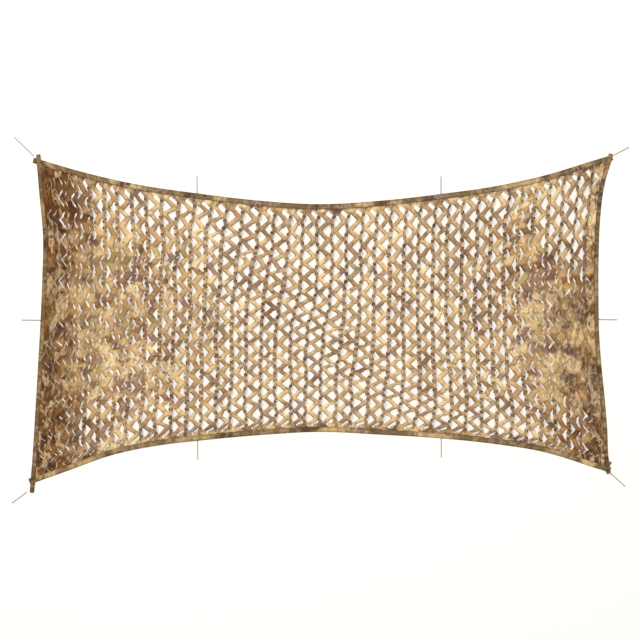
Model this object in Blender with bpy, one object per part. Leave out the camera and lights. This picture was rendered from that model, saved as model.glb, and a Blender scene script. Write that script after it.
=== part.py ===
"""Camouflage netting, spread out and lying face up on the plane z = 0.

One cloth is cut with columns of slits and stretched, so that it hollows in on all four sides.
A tape is folded over each side as a binding, and ten short cords are sewn into its fold.
Metres, +Z up. The long sides run along X and the origin is under the middle of the net.
"""

import math
from collections import namedtuple

import bmesh
import bpy
import numpy as np

# Cloth
CLOTH = 0.0016  # thickness of the slit cloth
COLUMNS = 39  # columns of slits across the net
ROWS = 16  # rows of slits up each column
GRID_PER_COLUMN = 2  # mesh steps to a column
GRID_ROWS = 12  # mesh steps from the lower edge to the upper one, the fine steps at the edges apart
FINE_STEPS = (0.016, 0.034, 0.06)  # extra mesh steps next to each edge, as shares of the side

# Binding: a tape folded over the cloth's edge
TAPE = 0.001  # thickness of one layer of tape
CLEAR = 0.0003  # gap between pieces that touch
LONG_WIDTH = 0.028  # binding on the upper and lower sides
SIDE_WIDTH = 0.023  # binding on the left and right sides
FOLD_HEIGHT = 2 * TAPE + CLOTH + 2 * CLEAR  # two layers with the cloth between them
CLOTH_IN_FOLD = 0.005  # from the outer line of the binding to the cloth's edge
LIFT = FOLD_HEIGHT + CLEAR  # the side bindings lie on the long ones where they cross
CROSSING = 0.045  # length of a side binding that stays lifted, from the corner
LIFT_RUN = 0.060  # length over which it climbs to that
CLEAR_OF_FOLD = 0.115  # this close to a corner the cloth's edge runs beside the side binding
BESIDE = 0.004  # at this distance from it
CORNER_TRIM = 0.040  # the cloth in a long binding's fold ends this far from the corner
INTO_FOLD = 0.070  # length over which the edge then goes into the fold
CORNER_FADE = 12  # how sharply the short edges bend to meet the long ones at the corners

# Ties
CORD = 0.005  # diameter
CORD_STEP = 3 * CORD  # distance between the points of a cord's centre line

# The outer line of the binding, corner to corner
Spot = namedtuple("Spot", "x y")
UPPER = [
    Spot(-1.506, 0.872),
    Spot(-1.358, 0.827),
    Spot(-1.231, 0.792),
    Spot(-0.977, 0.735),
    Spot(-0.654, 0.687),
    Spot(-0.340, 0.650),
    Spot(-0.004, 0.630),
    Spot(0.327, 0.649),
    Spot(0.637, 0.684),
    Spot(0.931, 0.726),
    Spot(1.186, 0.782),
    Spot(1.440, 0.859),
    Spot(1.549, 0.893),
]
LOWER = [
    Spot(-1.538, -0.853),
    Spot(-1.358, -0.789),
    Spot(-1.104, -0.699),
    Spot(-0.849, -0.647),
    Spot(-0.653, -0.624),
    Spot(-0.340, -0.595),
    Spot(-0.004, -0.577),
    Spot(0.327, -0.592),
    Spot(0.637, -0.611),
    Spot(0.931, -0.642),
    Spot(1.186, -0.684),
    Spot(1.440, -0.763),
    Spot(1.536, -0.794),
]
LEFT = [
    Spot(-1.538, -0.853),
    Spot(-1.529, -0.728),
    Spot(-1.513, -0.474),
    Spot(-1.498, -0.220),
    Spot(-1.484, 0.032),
    Spot(-1.477, 0.202),
    Spot(-1.472, 0.459),
    Spot(-1.494, 0.713),
    Spot(-1.506, 0.872),
]
RIGHT = [
    Spot(1.536, -0.794),
    Spot(1.526, -0.723),
    Spot(1.518, -0.559),
    Spot(1.504, -0.389),
    Spot(1.487, -0.220),
    Spot(1.475, -0.050),
    Spot(1.472, 0.120),
    Spot(1.473, 0.374),
    Spot(1.480, 0.544),
    Spot(1.500, 0.713),
    Spot(1.549, 0.893),
]

# How far each binding runs past its corners, at its start and its end
Run = namedtuple("Run", "before after")
UPPER_RUN = Run(0.014, -0.008)
LOWER_RUN = Run(0.002, -0.006)
LEFT_RUN = Run(0.044, 0.020)
RIGHT_RUN = Run(0.002, 0.000)
EAR_AT = 0.053  # a folded ear on the right binding, this far above its lower end
EAR_OUT = 0.018
EAR_LENGTH = 0.018

# How the stretched cloth spreads its columns and rows
END_PITCH = 0.80  # pitch of the columns beside the short sides, as a share of the middle's
END_COLUMNS = 5.0
UPPER_RIGHT_PITCH = 0.97  # the upper right corner is hardly gathered
ROW_PINCH = 0.13  # the rows lie closer along the lower side
BAND_UPPER = 0.285  # the most stretched cloth lies on a band from here on the upper side
BAND_LOWER = 0.715  # to here on the lower side, both as shares of the side
BAND_HALF = 0.068  # half the band's width, as a share of the net's width
BAND_PULL = 0.0107  # how far the cloth moves along the net across the band
BAND_DROP = 0.026  # and down it

# Soft pleats that run up the net between its columns, and creases that fan out of its corners
Pleat = namedtuple("Pleat", "column height half_width sway")
PLEATS = [
    Pleat(2.0, 0.010, 0.9, 0.3),
    Pleat(4.6, 0.016, 1.2, -0.5),
    Pleat(7.5, 0.013, 1.3, 0.4),
    Pleat(10.4, 0.018, 1.3, 0.7),
    Pleat(13.4, 0.021, 1.4, 0.5),
    Pleat(16.5, 0.019, 1.3, 0.9),
    Pleat(19.6, 0.022, 1.4, 0.6),
    Pleat(22.5, 0.020, 1.3, 0.8),
    Pleat(25.6, 0.022, 1.4, 0.4),
    Pleat(28.5, 0.017, 1.3, 0.7),
    Pleat(31.4, 0.015, 1.3, -0.3),
    Pleat(34.2, 0.019, 1.2, 0.5),
    Pleat(36.8, 0.012, 0.9, -0.4),
]
Crease = namedtuple("Crease", "x0 y0 x1 y1 height half_width")
CREASES = [
    Crease(-1.43, 0.77, -1.05, 0.52, 0.014, 0.035),
    Crease(-1.42, 0.74, -1.26, 0.30, 0.016, 0.030),
    Crease(-1.36, 0.72, -0.86, 0.60, 0.011, 0.030),
    Crease(1.46, 0.78, 1.10, 0.58, 0.015, 0.035),
    Crease(1.43, 0.72, 1.32, 0.28, 0.013, 0.030),
    Crease(-1.45, -0.74, -1.12, -0.50, 0.016, 0.035),
    Crease(-1.44, -0.68, -1.34, -0.22, 0.012, 0.030),
    Crease(-1.38, -0.72, -0.92, -0.58, 0.012, 0.030),
    Crease(1.45, -0.70, 1.14, -0.44, 0.017, 0.035),
    Crease(1.44, -0.62, 1.36, -0.14, 0.014, 0.030),
    Crease(1.36, -0.67, 0.92, -0.56, 0.012, 0.030),
]
FLAT_EDGE = 0.048  # the cloth is flat this far in from the binding's outer line
RISE_RUN = 0.050  # and reaches its full pleats after this much more

# The largest gaps. Each opens to the right or the left of the spine that it is named by.
Gap = namedtuple("Gap", "spine row side")
GAPS = [
    Gap(11, 12.0, 1),
    Gap(13, 10.5, -1),
    Gap(15, 9.0, 1),
    Gap(17, 7.5, -1),
    Gap(19, 6.0, 1),
    Gap(21, 8.5, -1),
    Gap(22, 4.0, 1),
    Gap(24, 10.0, 1),
    Gap(26, 5.5, -1),
    Gap(27, 3.0, 1),
    Gap(12, 3.5, -1),
    Gap(37, 14.0, 1),
]
# A gap's outline, from the middle of its flat side: across the columns and up the rows
GAP_OUTLINE = [
    Spot(0.09, -0.35),
    Spot(0.34, -0.25),
    Spot(0.56, -0.06),
    Spot(0.56, 0.06),
    Spot(0.34, 0.25),
    Spot(0.09, 0.35),
]
CUT_HEIGHT = 0.08

# Ties, each from the binding's outer line to its free end
Tie = namedtuple("Tie", "name x0 y0 x1 y1")
TIES = [
    Tie("tie_upper_left", -0.6550, 0.6876, -0.656, 0.779),
    Tie("tie_upper_right", 0.6370, 0.6844, 0.637, 0.779),
    Tie("tie_lower_left", -0.6530, -0.6244, -0.652, -0.726),
    Tie("tie_lower_right", 0.6380, -0.6115, 0.639, -0.713),
    Tie("tie_left", -1.4852, 0.0150, -1.584, 0.016),
    Tie("tie_right", 1.4738, 0.0190, 1.572, 0.017),
    Tie("tie_corner_upper_left", -1.5205, 0.8855, -1.626, 0.986),
    Tie("tie_corner_upper_right", 1.5545, 0.8905, 1.634, 0.932),
    Tie("tie_corner_lower_left", -1.5570, -0.8955, -1.638, -0.955),
    Tie("tie_corner_lower_right", 1.5380, -0.7980, 1.615, -0.868),
]

Look = namedtuple("Look", "color roughness")
LOOKS = {
    "cloth": Look((0.42, 0.27, 0.13), 0.85),
    "binding": Look((0.30, 0.20, 0.09), 0.80),
    "cord": Look((0.52, 0.49, 0.42), 0.60),
}


def clear_scene():
    for old in list(bpy.data.objects):
        bpy.data.objects.remove(old, do_unlink=True)


def material(slot):
    made = bpy.data.materials.get(slot) or bpy.data.materials.new(slot)
    made.use_nodes = True
    shader = made.node_tree.nodes["Principled BSDF"]
    shader.inputs["Base Color"].default_value = (*LOOKS[slot].color, 1.0)
    shader.inputs["Roughness"].default_value = LOOKS[slot].roughness
    shader.inputs["Metallic"].default_value = 0.0
    return made


def add_object(name, data, slot):
    made = bpy.data.objects.new(name, data)
    made.data.materials.append(material(slot))
    bpy.context.scene.collection.objects.link(made)
    return made


def smoothstep(t):
    t = np.clip(t, 0.0, 1.0)
    return t * t * (3 - 2 * t)


class Line:
    """A smooth line through its spots. A place on it is given by its share of the line's length."""

    def __init__(self, spots, inner_side):
        """inner_side is 1 if the net lies to the left of the line's direction, -1 if to its right."""
        self.spots = np.array(spots, float)
        steps = np.linalg.norm(np.diff(self.spots, axis=0), axis=1)
        self.length = float(steps.sum())
        self.shares = np.concatenate([[0], np.cumsum(steps)]) / self.length
        self.slopes = np.gradient(self.spots, self.shares, axis=0)
        self.inner_side = inner_side

    def at(self, share):
        """The places at these shares. Past its ends the line runs straight on."""
        inside = np.clip(share, 0.0, 1.0)
        k = np.clip(np.searchsorted(self.shares, inside, side="right") - 1, 0, len(self.spots) - 2)
        width = (self.shares[k + 1] - self.shares[k])[..., None]
        t = ((inside - self.shares[k]) / width[..., 0])[..., None]
        on_line = (
            (2 * t**3 - 3 * t**2 + 1) * self.spots[k]
            + (t**3 - 2 * t**2 + t) * width * self.slopes[k]
            + (3 * t**2 - 2 * t**3) * self.spots[k + 1]
            + (t**3 - t**2) * width * self.slopes[k + 1]
        )
        end_slope = np.where((share < 0.5)[..., None], self.slopes[0], self.slopes[-1])
        return on_line + (share - inside)[..., None] * end_slope

    def inward(self, share):
        """Unit vectors across the line, towards the net."""
        run = self.at(share + 1e-4) - self.at(share - 1e-4)
        across = self.inner_side * np.stack([-run[..., 1], run[..., 0]], axis=-1)
        return across / np.linalg.norm(across, axis=-1, keepdims=True)


upper, lower = Line(UPPER, -1), Line(LOWER, 1)
left, right = Line(LEFT, -1), Line(RIGHT, 1)


def long_edge(line, t):
    """The cloth's edge in the fold of a long binding, between the two short bindings."""
    trim = CORNER_TRIM / line.length
    share = trim + (1 - 2 * trim) * t
    return line.at(share) + CLOTH_IN_FOLD * line.inward(share)


def short_edge(line, t):
    """The cloth's edge in the fold of a short binding, which it leaves near the corners."""
    trim = CLOTH_IN_FOLD / line.length
    share = trim + (1 - 2 * trim) * t
    to_corner = np.minimum(share, 1 - share) * line.length
    folded_in = smoothstep((to_corner - CLEAR_OF_FOLD) / INTO_FOLD)
    beside = SIDE_WIDTH + BESIDE
    depth = beside + (CLOTH_IN_FOLD - beside) * folded_in
    return line.at(share) + depth[..., None] * line.inward(share)


def patch(u, v):
    """A place in the cloth, stretched between its edges, from shares of its width and height."""
    zero, one = np.zeros_like(u), np.ones_like(u)
    across = [u[..., None], 1 - u[..., None]]
    up = [v[..., None], 1 - v[..., None]]
    low, high = long_edge(lower, u), long_edge(upper, u)
    near, far = short_edge(left, v), short_edge(right, v)
    corner = {(i, j): long_edge((lower, upper)[j], (zero, one)[i]) for i in (0, 1) for j in (0, 1)}
    for j, end in enumerate((zero, one)):
        near_corner = up[1 - j] ** CORNER_FADE
        near = near + near_corner * (corner[0, j] - short_edge(left, end))
        far = far + near_corner * (corner[1, j] - short_edge(right, end))
    corners = sum(across[1 - i] * up[1 - j] * corner[i, j] for i in (0, 1) for j in (0, 1))
    return up[1] * low + up[0] * high + across[1] * near + across[0] * far - corners


def column_share(column, right_pitch):
    """How far along a long side a column stands, gathered towards the short sides."""
    near = np.clip(column, 0, END_COLUMNS)
    far = np.clip(COLUMNS - column, 0, END_COLUMNS)
    lost_near = (1 - END_PITCH) * (near - near**2 / (2 * END_COLUMNS))
    lost_far = (1 - right_pitch) * (far - far**2 / (2 * END_COLUMNS))
    all_near = (1 - END_PITCH) * END_COLUMNS / 2
    all_far = (1 - right_pitch) * END_COLUMNS / 2
    return (column - lost_near - all_far + lost_far) / (COLUMNS - all_near - all_far)


def spread(column, row):
    """Shares of the net's width and height for a point counted in columns and rows."""
    v = row / ROWS
    u = (1 - v) * column_share(column, END_PITCH) + v * column_share(column, UPPER_RIGHT_PITCH)
    band = BAND_LOWER + (BAND_UPPER - BAND_LOWER) * v
    step = np.tanh((u - band) / BAND_HALF)
    step = step + (1 - u) * np.tanh(band / BAND_HALF) - u * np.tanh((1 - band) / BAND_HALF)
    off_edges = 1 - (2 * v - 1) ** 4
    return u + BAND_PULL * step, v - ROW_PINCH * v * (1 - v) - BAND_DROP * step * off_edges


def place(column, row):
    """Places in the plane of points counted in columns from the left and in rows up."""
    return patch(*spread(np.asarray(column, float), np.asarray(row, float)))


def relief(column, row, x, y):
    """Height of the cloth's underside: pleats and creases inside, a flat edge in the bindings."""
    sway = np.sin(math.pi * row / ROWS)
    height = np.zeros_like(x)
    for pleat in PLEATS:
        off = (column - pleat.column - pleat.sway * sway) / pleat.half_width
        swell = 0.8 + 0.2 * np.sin(1.3 * row + pleat.column)
        height = np.maximum(height, pleat.height * swell * (1 - smoothstep(np.abs(off))))
    for crease in CREASES:
        run = np.array([crease.x1 - crease.x0, crease.y1 - crease.y0])
        along = ((x - crease.x0) * run[0] + (y - crease.y0) * run[1]) / (run @ run)
        across = ((x - crease.x0) * run[1] - (y - crease.y0) * run[0]) / math.hypot(*run)
        ends = smoothstep(4 * along) * smoothstep(4 * (1 - along))
        fold = ends * (1 - smoothstep(np.abs(across) / crease.half_width))
        height = np.maximum(height, crease.height * fold)
    edge = inside_depth(x, y)
    inside = smoothstep((edge - FLAT_EDGE) / RISE_RUN)
    return inside * height + (1 - inside) * (TAPE + CLEAR)


def inside_depth(x, y):
    """About how far a point lies inside the outer line, from the nearest side."""
    points = np.stack([x, y], axis=-1)
    depths = []
    for line in (upper, lower, left, right):
        samples = np.linspace(0, 1, 200)
        places, inward = line.at(samples), line.inward(samples)
        nearest = np.argmin(((points[..., None, :] - places) ** 2).sum(axis=-1), axis=-1)
        depths.append(((points - places[nearest]) * inward[nearest]).sum(axis=-1))
    return np.min(depths, axis=0)


def steps_with_fine_ends(count):
    """Shares of a side, with even steps between the fine ones next to its ends."""
    first, second, last = FINE_STEPS
    even = np.linspace(last, 1 - last, count + 1)
    return [0.0, first, second, *even, 1 - second, 1 - first, 1.0]


def build_cloth():
    """The slit cloth as one sheet with its pleats, and its largest gaps cut through it."""
    columns = np.linspace(0, COLUMNS, COLUMNS * GRID_PER_COLUMN + 1)
    rows = ROWS * np.array(steps_with_fine_ends(GRID_ROWS))
    column, row = np.meshgrid(columns, rows)
    flat = place(column, row)
    x, y = flat[..., 0], flat[..., 1]
    under = relief(column, row, x, y)
    mesh = bmesh.new()
    points = [[mesh.verts.new(p) for p in zip(*line)] for line in zip(x, y, under)]
    for low, high in zip(points, points[1:]):
        for a, b, c, d in zip(low, low[1:], high[1:], high):
            mesh.faces.new((a, b, c, d))
    data = bpy.data.meshes.new("net_cloth")
    mesh.to_mesh(data)
    mesh.free()
    data.shade_smooth()
    cloth = add_object("net_cloth", data, "cloth")
    thick = cloth.modifiers.new("thickness", "SOLIDIFY")
    thick.thickness = CLOTH
    thick.offset = 1.0
    cut = cloth.modifiers.new("gaps", "BOOLEAN")
    cut.operation = "DIFFERENCE"
    cut.object = build_gap_cutter()


def gap_outline(gap):
    """Corners of a gap in the plane, counter-clockwise."""
    across = np.array([gap.spine + gap.side * spot.x for spot in GAP_OUTLINE])
    up = np.array([gap.row + spot.y for spot in GAP_OUTLINE])
    return place(across, up)[:: gap.side]


def build_gap_cutter():
    """Upright prisms that cut the gaps."""
    mesh = bmesh.new()
    for gap in GAPS:
        outline = gap_outline(gap)
        low = [mesh.verts.new((x, y, -CUT_HEIGHT)) for x, y in outline]
        high = [mesh.verts.new((x, y, CUT_HEIGHT)) for x, y in outline]
        mesh.faces.new(low[::-1])
        mesh.faces.new(high)
        for k in range(len(low)):
            n = (k + 1) % len(low)
            mesh.faces.new((low[k], low[n], high[n], high[k]))
    data = bpy.data.meshes.new("gap_cutter")
    mesh.to_mesh(data)
    mesh.free()
    cutter = bpy.data.objects.new("gap_cutter", data)
    bpy.context.scene.collection.objects.link(cutter)
    cutter.hide_render = True
    cutter.display_type = "WIRE"
    return cutter


def fold_profile(width):
    """Cross-section of a folded tape: distance in from the outer line, and height."""
    top = FOLD_HEIGHT
    return [
        (0.0, 0.0),
        (width, 0.0),
        (width, TAPE),
        (TAPE, TAPE),
        (TAPE, top - TAPE),
        (width, top - TAPE),
        (width, top),
        (0.0, top),
    ]


def binding_stations(line, run, steps, lift, ear):
    """Distances along a binding of its cross-sections, closer where it climbs or has its ear."""
    ramp = CROSSING + LIFT_RUN * np.linspace(0, 1, 6) if lift else np.array([CROSSING])
    inner = np.linspace(ramp[-1], line.length - ramp[-1], steps + 1)[1:-1]
    ear_rings = EAR_AT + EAR_LENGTH * np.array([-0.5, 0, 0.5]) if ear else []
    ends = [-run.before, line.length + run.after]
    return np.sort(np.concatenate([ends, ramp, line.length - ramp, inner, ear_rings]))


def build_binding(name, line, width, run, steps, lift=0.0, ear=False):
    """A folded tape swept along its line, climbing by lift at both ends."""
    stations = binding_stations(line, run, steps, lift, ear)
    shares = stations / line.length
    places, inward = line.at(shares), line.inward(shares)
    to_corner = np.minimum(stations, line.length - stations)
    raised = lift * (1 - smoothstep((to_corner - CROSSING) / LIFT_RUN))
    mesh = bmesh.new()
    rings = []
    for station, spot, across, height in zip(stations, places, inward, raised):
        ring = []
        for depth, z in fold_profile(width):
            if ear and depth < TAPE and station == EAR_AT:
                depth -= EAR_OUT
            ring.append(mesh.verts.new((*(spot + depth * across), z + height)))
        rings.append(ring)
    count = len(rings[0])
    for ring, following in zip(rings, rings[1:]):
        for k in range(count):
            n = (k + 1) % count
            mesh.faces.new((ring[k], ring[n], following[n], following[k]))
    mesh.faces.new(rings[0][::-1])
    mesh.faces.new(rings[-1])
    bmesh.ops.recalc_face_normals(mesh, faces=mesh.faces)
    data = bpy.data.meshes.new(name)
    mesh.to_mesh(data)
    mesh.free()
    add_object(name, data, "binding")


def build_tie(tie):
    """A short straight cord that lies on the ground from the binding outwards."""
    start, end = np.array([tie.x0, tie.y0]), np.array([tie.x1, tie.y1])
    count = max(2, math.ceil(np.linalg.norm(end - start) / CORD_STEP) + 1)
    curve = bpy.data.curves.new(tie.name, "CURVE")
    curve.dimensions = "3D"
    curve.bevel_depth = CORD / 2
    curve.bevel_resolution = 2
    curve.use_fill_caps = True
    spline = curve.splines.new("POLY")
    spline.points.add(count - 1)
    for point, t in zip(spline.points, np.linspace(0, 1, count)):
        x, y = start + t * (end - start)
        point.co = (x, y, CORD / 2 + CLEAR, 1.0)
    add_object(tie.name, curve, "cord")


def main():
    clear_scene()
    build_cloth()
    build_binding("binding_upper", upper, LONG_WIDTH, UPPER_RUN, 30)
    build_binding("binding_lower", lower, LONG_WIDTH, LOWER_RUN, 30)
    build_binding("binding_left", left, SIDE_WIDTH, LEFT_RUN, 14, LIFT)
    build_binding("binding_right", right, SIDE_WIDTH, RIGHT_RUN, 14, LIFT, ear=True)
    for tie in TIES:
        build_tie(tie)


main()
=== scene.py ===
"""The looks of the camouflage netting: its slit cloth as it stretches and curls, its bindings and its ties.

The cloth is laid out over its CAD outline with its slits open and its tabs folded back, and is then
relaxed: every edge of its mesh goes back to its own length, so that the cloth settles into its folds.
"""

import math
from collections import namedtuple

import bpy
import numpy as np
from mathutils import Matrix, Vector


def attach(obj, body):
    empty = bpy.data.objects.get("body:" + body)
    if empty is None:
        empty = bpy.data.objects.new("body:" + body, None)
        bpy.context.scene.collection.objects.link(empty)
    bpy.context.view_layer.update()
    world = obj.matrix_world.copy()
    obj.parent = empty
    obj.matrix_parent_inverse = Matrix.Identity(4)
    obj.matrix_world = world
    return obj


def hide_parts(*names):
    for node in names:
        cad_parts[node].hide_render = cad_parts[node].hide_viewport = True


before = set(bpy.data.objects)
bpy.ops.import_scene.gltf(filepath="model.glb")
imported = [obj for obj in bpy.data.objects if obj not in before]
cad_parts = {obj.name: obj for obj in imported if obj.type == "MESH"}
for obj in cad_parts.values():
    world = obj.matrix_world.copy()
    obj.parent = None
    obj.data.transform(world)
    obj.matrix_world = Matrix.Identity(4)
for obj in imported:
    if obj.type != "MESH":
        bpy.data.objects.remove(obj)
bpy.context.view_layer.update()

# Sizes in metres, as in the CAD model
CLOTH = 0.0016
COLUMNS = 39
ROWS = 16
TAPE = 0.001
CLEAR = 0.0003
LONG_WIDTH = 0.028
SIDE_WIDTH = 0.023
FOLD_HEIGHT = 2 * TAPE + CLOTH + 2 * CLEAR
CLOTH_IN_FOLD = 0.005
LIFT = FOLD_HEIGHT + CLEAR
CROSSING = 0.045
LIFT_RUN = 0.060
CLEAR_OF_FOLD = 0.115
INTO_FOLD = 0.070
CORNER_FADE = 12  # a power: the higher, the closer to the corners the short sides are pulled to them
CORD = 0.005

# At the corners the cloth runs on under the tapes, further than in the CAD model
BESIDE = -0.006
CORNER_TRIM = 0.017

# The outer line of the binding from corner to corner, as x and y
UPPER = [
    (-1.506, 0.872), (-1.358, 0.827), (-1.231, 0.792), (-0.977, 0.735), (-0.654, 0.687),
    (-0.340, 0.650), (-0.004, 0.630), (0.327, 0.649), (0.637, 0.684), (0.931, 0.726), (1.186, 0.782),
    (1.440, 0.859), (1.549, 0.893),
]
LOWER = [
    (-1.538, -0.853), (-1.358, -0.789), (-1.104, -0.699), (-0.849, -0.647), (-0.653, -0.624),
    (-0.340, -0.595), (-0.004, -0.577), (0.327, -0.592), (0.637, -0.611), (0.931, -0.642),
    (1.186, -0.684), (1.440, -0.763), (1.536, -0.794),
]
LEFT = [
    (-1.538, -0.853), (-1.529, -0.728), (-1.513, -0.474), (-1.498, -0.220), (-1.484, 0.032),
    (-1.477, 0.202), (-1.472, 0.459), (-1.494, 0.713), (-1.506, 0.872),
]
RIGHT = [
    (1.536, -0.794), (1.526, -0.723), (1.518, -0.559), (1.504, -0.389), (1.487, -0.220),
    (1.475, -0.050), (1.472, 0.120), (1.473, 0.374), (1.480, 0.544), (1.500, 0.713), (1.549, 0.893),
]

# How far each binding runs past its corners, at its start and its end
Run = namedtuple("Run", "before after")
UPPER_RUN = Run(0.014, -0.008)
LOWER_RUN = Run(0.002, -0.006)
LEFT_RUN = Run(0.044, 0.020)
RIGHT_RUN = Run(0.002, 0.000)
EAR_AT = 0.053  # a folded ear on the right binding, this far above its lower end
EAR_OUT = 0.018
EAR_LENGTH = 0.018

# How the stretched cloth spreads its columns and rows
END_PITCH = 0.80  # pitch of the columns beside the short sides, as a share of the pitch in the middle
END_COLUMNS = 5.0
UPPER_RIGHT_PITCH = 0.97  # the upper right corner is hardly gathered
ROW_PINCH = 0.13  # the rows lie closer along the lower side
BAND_UPPER = 0.285  # the most stretched cloth lies on a band from here on the upper side
BAND_LOWER = 0.715  # to here on the lower side, both as shares of the side
BAND_HALF = 0.068  # half the band's width, as a share of the net's width
BAND_PULL = 0.0107  # how far the cloth moves along the net across the band
BAND_DROP = 0.026  # and down it

# Ties, each from the binding's outer line to its free end
Tie = namedtuple("Tie", "name x0 y0 x1 y1")
TIES = [
    Tie("tie_upper_left", -0.6550, 0.6876, -0.656, 0.779),
    Tie("tie_upper_right", 0.6370, 0.6844, 0.637, 0.779),
    Tie("tie_lower_left", -0.6530, -0.6244, -0.652, -0.726),
    Tie("tie_lower_right", 0.6380, -0.6115, 0.639, -0.713),
    Tie("tie_left", -1.4852, 0.0150, -1.584, 0.016),
    Tie("tie_right", 1.4738, 0.0190, 1.572, 0.017),
    Tie("tie_corner_upper_left", -1.5205, 0.8855, -1.626, 0.986),
    Tie("tie_corner_upper_right", 1.5545, 0.8905, 1.634, 0.932),
    Tie("tie_corner_lower_left", -1.5570, -0.8955, -1.638, -0.955),
    Tie("tie_corner_lower_right", 1.5380, -0.7980, 1.615, -0.868),
]

# The cloth as it is cut, before it is stretched
COLUMN_PITCH = 0.080
ROW_PITCH = 0.100
STEPS_ACROSS = 10  # mesh steps to a column
STEPS_UP = 12  # mesh steps to a row
HALF_UP = STEPS_UP // 2
SLIT_START = 1  # a slit starts this many steps beside its spine
SLIT_REACH = 5  # and runs this many steps outwards and up to its tip, then back
# Where the steps fall in a column and in a row, for slits with rounded sides and for straight ones
COLUMN_SHARES = [0.0, 0.04, 0.12, 0.24, 0.33, 0.50, 0.67, 0.76, 0.88, 0.96, 1.0]
ROW_SHARES = [0.0, 0.145, 0.235, 0.29, 0.335, 0.395, 0.50, 0.605, 0.665, 0.71, 0.765, 0.855, 1.0]
EVEN_COLUMN_SHARES = [0.0, 0.04, 0.14, 0.26, 0.38, 0.50, 0.62, 0.74, 0.86, 0.96, 1.0]
EVEN_ROW_SHARES = [k / STEPS_UP for k in range(STEPS_UP + 1)]
ROUNDED_FROM = 0.55  # slits open wider than this become rounded
ROUNDED_RUN = 0.35
# How far the rows at each step across follow the tabs from the right spine instead of the left one's
FROM_RIGHT = [0.5, 0.0, 0.0, 0.0, 0.0, 0.5, 1.0, 1.0, 1.0, 1.0]

# How far the slits are open at columns of the net, from 0, shut, to 1, the tab folded right back
OPENNESS = [
    (0, 0.0), (1.6, 0.04), (2.8, 0.24), (4.2, 0.48), (7, 0.58), (10, 0.66), (13, 0.78), (16, 0.88),
    (20, 0.93), (24, 0.84), (31, 0.75), (33, 0.64), (34.2, 0.42), (35.5, 0.12), (36.8, 0.02), (39, 0.0),
]
# Places where the slits stand wide open: fully inside the inner radius, and as elsewhere past the outer one
Wide = namedtuple("Wide", "column row inner outer open")
WIDE_OPEN = [
    Wide(38.2, 15.2, 3.5, 6.5, 0.92),
    Wide(5.0, 2.4, 1.0, 2.8, 0.74),
    Wide(35.6, 2.0, 0.9, 2.4, 0.70),
]
OPEN_SLANT = 1.5  # the open cloth lies this many columns further left at the upper side than at the lower
OPEN_UNEVEN = 0.07  # over several slits
TAB_UNEVEN = 0.07  # from slit to slit
OPEN_RISE = 2  # unevenness and narrowing grow with a slit's openness at this rate, up to their full size
TAB_RISE = 3
EDGE_OPEN = 0.30  # the slits beside the long bindings are more open
EDGE_OPEN_ROWS = 4.5
EDGE_OPEN_COLUMNS = 5.5
TAB_NARROW = 0.32  # a tab draws in along its sides as its slit opens
LEAN = 0.35  # how far the cloth between narrow slits is pushed back from their tips, in columns
TAB_LEAN = 0.45  # how much their tabs draw back, as a share of their length
MOST_LEAN = 0.6  # both grow as slits shut, up to here
FULL_LEAN_OPEN = 0.25  # and fade again below this openness, so that shut slits don't show

# The slopes of a tab's steps from its spine to its tip, in degrees, as its slit opens
Pose = namedtuple("Pose", "open slopes")
TAB_POSES = [
    Pose(0.0, (0, 0, 0, 0, 0)),
    Pose(0.3, (24, 28, 10, -28, -45)),
    Pose(0.5, (10, 14, 20, 55, 165)),
    Pose(0.7, (32, 55, 95, 185, 270)),
    Pose(1.0, (70, 88, 170, 262, 345)),
]

# Heights and depths of the relief, in metres
MIDDLE_HEIGHT = 0.010
END_HEIGHT = 0.008
LIP_DROP = 0.0045  # the cloth curls down along the upper side of a slit
LOWER_LIP_DROP = 0.0025
UNEVEN = 0.0064  # in the plane
RISE_UNEVEN = 0.0032
END_CREASES = 0.005  # where the slits are shut
CREASED_OPEN = 0.5  # and fading up to this openness
LOWEST = 0.0008
HIGHEST = 0.0315
HELD_EDGE = 0.030  # the cloth lies flat in the bindings
EDGE_RUN = 0.040
HELD_LEVEL = TAPE + CLEAR + CLOTH / 2

SPINE_SWAY = 0.085  # in columns
PLEAT_DRIFT = 0.18  # in columns
PLEAT_SIZE = 0.8  # as a share of the height that would take up all the spare cloth
PLEAT_UNEVEN = 0.35

# Smooth random surfaces over the net: a seed, and the longest and shortest waves in columns
Swell = namedtuple("Swell", "seed longest shortest")
SHIFT_SWELLS = (Swell(1, 5, 1.1), Swell(2, 5, 1.1))
DRIFT_SWELL = Swell(3, 9, 3)
PLEAT_SWELL = Swell(4, 5, 2)
RISE_SWELL = Swell(5, 3, 1.1)
OPEN_SWELL = Swell(6, 7, 2.5)
CREASE_SWELL = Swell(8, 2.6, 0.7)
TONE_SWELL = Swell(11, 4, 1.2)
WAVE_COUNT = 7
TAB_SEED = 7
LEG_SEED = 12

SHORT_STEP = 1e-4  # for the direction of a line, as a share of its length
PITCH_STEP = 0.3  # for the spread of the cloth, in columns or rows
OUTLINE_SAMPLES = 120

# How the cloth settles
ROUNDS = 120
EDGE_STIFFNESS = 1.0
BEND_STIFFNESS = 0.5
CUT_PULL = 0.3  # how far the cloth goes back from its laid-out size to its cut size
SPINE_HOLD = 0.10
NO_LENGTH = 1e-9  # keeps the length of a run above zero


def smoothstep(t):
    t = np.clip(t, 0.0, 1.0)
    return t * t * (3 - 2 * t)


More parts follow.
